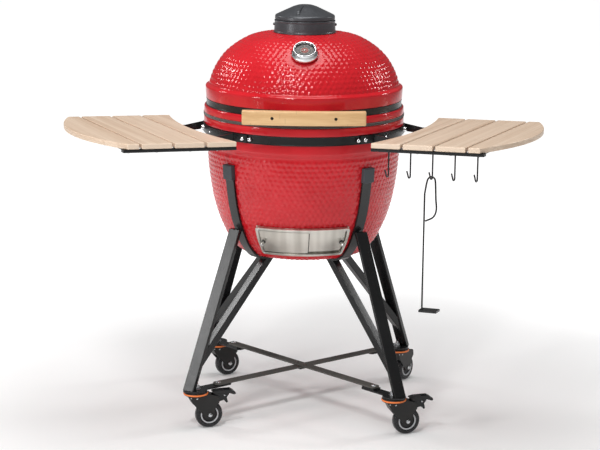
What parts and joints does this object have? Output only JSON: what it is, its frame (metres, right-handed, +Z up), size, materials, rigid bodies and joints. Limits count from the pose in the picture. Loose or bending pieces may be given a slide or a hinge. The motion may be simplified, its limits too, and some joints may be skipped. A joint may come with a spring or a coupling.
{
  "type": "kamado charcoal grill",
  "caption": "Egg-shaped ceramic charcoal grill with a hinged dome lid, on a truss-leg caster stand with two fold-down bamboo side shelves.",
  "frame": {"origin": "on the floor, under the middle of the whole object's box", "axes": "+Z up, +X to the cook's right along the two shelves, -Y towards the cook"},
  "size_m": [1.3042, 0.8041, 1.126],
  "materials": {
    "red_glaze": "glossy pimpled glaze, smooth at the rims",
    "gasket_felt": "brown-black woven felt rope",
    "fire_clay": "unglazed fired clay",
    "grate_iron": "raw casting",
    "vent_casting": "satin dark grey coating",
    "stainless_steel": "brushed",
    "thermometer_chrome": "polished bezel round a dark dial",
    "zinc_fasteners": "bright zinc",
    "shelf_bamboo": "satin lacquered bamboo strips",
    "handle_bamboo": "satin lacquered bamboo",
    "leg_rubber": "matt grey",
    "caster_tyre": "satin black tread on a grey and black hub",
    "pedal_nylon": "moulded black nylon",
    "caster_steel": "black, with an orange seal at the swivel",
    "brace_steel": "warm grey-black satin powder coat",
    "black_steel": "satin black powder coat"
  },
  "bodies": {
    "base": {"bowl": "red_glaze", "bowl_gasket": "gasket_felt", "bowl_band": "black_steel", "hinge_lower": "black_steel", "hinge_pin": "zinc_fasteners", "draft_frame": "stainless_steel", "fire_box": "fire_clay", "fire_ring": "fire_clay", "charcoal_grate": "grate_iron", "brace_bar_lower": "brace_steel", "brace_bar_upper": "brace_steel", "shelf_left_bracket": "black_steel", "shelf_right_bracket": "black_steel", "leg_front_left": "black_steel", "leg_front_right": "black_steel", "leg_rear_right": "black_steel", "leg_rear_left": "black_steel", "leg_pad_front_left": "leg_rubber", "leg_pad_front_right": "leg_rubber", "leg_pad_rear_right": "leg_rubber", "leg_pad_rear_left": "leg_rubber"},
    "lid_assembly": {"lid": "red_glaze", "lid_gasket": "gasket_felt", "lid_band": "black_steel", "hinge_upper": "black_steel", "handle_bracket_left": "black_steel", "handle_bracket_right": "black_steel", "handle_grip": "handle_bamboo", "thermometer": "thermometer_chrome", "vent_base": "vent_casting"},
    "vent_cap": {"vent_cover": "vent_casting"},
    "draft_slider_left": {"draft_door_left": "stainless_steel"},
    "draft_slider_right": {"draft_door_right": "stainless_steel"},
    "cooking_grate_lift": {"cooking_grate": "stainless_steel"},
    "shelf_left": {"shelf_left_frame": "black_steel", "shelf_left_plank_1": "shelf_bamboo", "shelf_left_plank_2": "shelf_bamboo", "shelf_left_plank_3": "shelf_bamboo", "shelf_left_plank_4": "shelf_bamboo"},
    "shelf_right": {"shelf_right_frame": "black_steel", "shelf_right_plank_1": "shelf_bamboo", "shelf_right_plank_2": "shelf_bamboo", "shelf_right_plank_3": "shelf_bamboo", "shelf_right_plank_4": "shelf_bamboo", "hook_1": "black_steel", "hook_2": "black_steel", "hook_3": "black_steel", "hook_4": "black_steel", "hook_5": "black_steel"},
    "ash_tool_hung": {"ash_tool": "black_steel"},
    "caster_front_left": {"caster_fork_front_left": "caster_steel"},
    "wheel_front_left": {"caster_wheel_front_left": "caster_tyre"},
    "pedal_front_left": {"brake_pedal_front_left": "pedal_nylon"},
    "caster_front_right": {"caster_fork_front_right": "caster_steel"},
    "wheel_front_right": {"caster_wheel_front_right": "caster_tyre"},
    "pedal_front_right": {"brake_pedal_front_right": "pedal_nylon"},
    "caster_rear_right": {"caster_fork_rear_right": "caster_steel"},
    "wheel_rear_right": {"caster_wheel_rear_right": "caster_tyre"},
    "caster_rear_left": {"caster_fork_rear_left": "caster_steel"},
    "wheel_rear_left": {"caster_wheel_rear_left": "caster_tyre"}
  },
  "joints": [
    {"name": "lid_hinge", "type": "hinge", "parent": "base", "child": "lid_assembly", "pos_m": [0, 0.3898, 0.832], "axis": [-1, 0, 0], "range_deg": [0, 70]},
    {"name": "vent_cap_turn", "type": "hinge", "parent": "lid_assembly", "child": "vent_cap", "pos_m": [0, 0.0848, 1.0856], "axis": [0, 0, 1], "range_deg": [0, 60]},
    {"name": "draft_door_left_slide", "type": "hinge", "parent": "base", "child": "draft_slider_left", "pos_m": [0, 0.0848, 0.49], "axis": [0, 0, 1], "range_deg": [0, 21]},
    {"name": "draft_door_right_slide", "type": "hinge", "parent": "base", "child": "draft_slider_right", "pos_m": [0, 0.0848, 0.49], "axis": [0, 0, 1], "range_deg": [-21, 0]},
    {"name": "cooking_grate_lift_off", "type": "slide", "parent": "base", "child": "cooking_grate_lift", "axis": [0, 0, 1], "range_m": [0, 0.1]},
    {"name": "shelf_left_fold", "type": "hinge", "parent": "base", "child": "shelf_left", "pos_m": [-0.27709, -0.04265, 0.788], "axis": [0.4179, -0.9085, 0], "range_deg": [0, 60]},
    {"name": "shelf_right_fold", "type": "hinge", "parent": "base", "child": "shelf_right", "pos_m": [0.27709, -0.04265, 0.788], "axis": [0.4179, 0.9085, 0], "range_deg": [0, 60]},
    {"name": "ash_tool_lift_off", "type": "slide", "parent": "shelf_right", "child": "ash_tool_hung", "axis": [0, 0, 1], "range_m": [0, 0.024]},
    {"name": "caster_front_left_swivel", "type": "hinge", "parent": "base", "child": "caster_front_left", "pos_m": [-0.28322, -0.14129, 0.095], "axis": [0, 0, 1], "continuous": true},
    {"name": "wheel_front_left_roll", "type": "hinge", "parent": "caster_front_left", "child": "wheel_front_left", "pos_m": [-0.24898, -0.13017, 0.0375], "axis": [-0.309, 0.9511, 0], "continuous": true},
    {"name": "brake_pedal_front_left_press", "type": "hinge", "parent": "caster_front_left", "child": "pedal_front_left", "pos_m": [-0.22901, -0.12368, 0.078], "axis": [-0.309, 0.9511, 0], "range_deg": [0, 14]},
    {"name": "caster_front_right_swivel", "type": "hinge", "parent": "base", "child": "caster_front_right", "pos_m": [0.249, -0.17851, 0.095], "axis": [0, 0, 1], "continuous": true},
    {"name": "wheel_front_right_roll", "type": "hinge", "parent": "caster_front_right", "child": "wheel_front_right", "pos_m": [0.28304, -0.16679, 0.0375], "axis": [-0.3256, 0.9455, 0], "continuous": true},
    {"name": "brake_pedal_front_right_press", "type": "hinge", "parent": "caster_front_right", "child": "pedal_front_right", "pos_m": [0.3029, -0.15995, 0.078], "axis": [-0.3256, 0.9455, 0], "range_deg": [0, 14]},
    {"name": "caster_rear_right_swivel", "type": "hinge", "parent": "base", "child": "caster_rear_right", "pos_m": [0.28322, 0.31089, 0.095], "axis": [0, 0, 1], "continuous": true},
    {"name": "wheel_rear_right_roll", "type": "hinge", "parent": "caster_rear_right", "child": "wheel_rear_right", "pos_m": [0.30387, 0.34038, 0.0375], "axis": [-0.8191, 0.5736, 0], "continuous": true},
    {"name": "caster_rear_left_swivel", "type": "hinge", "parent": "base", "child": "caster_rear_left", "pos_m": [-0.249, 0.34811, 0.095], "axis": [0, 0, 1], "continuous": true},
    {"name": "wheel_rear_left_roll", "type": "hinge", "parent": "caster_rear_left", "child": "wheel_rear_left", "pos_m": [-0.21881, 0.36772, 0.0375], "axis": [-0.5446, 0.8387, 0], "continuous": true}
  ]
}
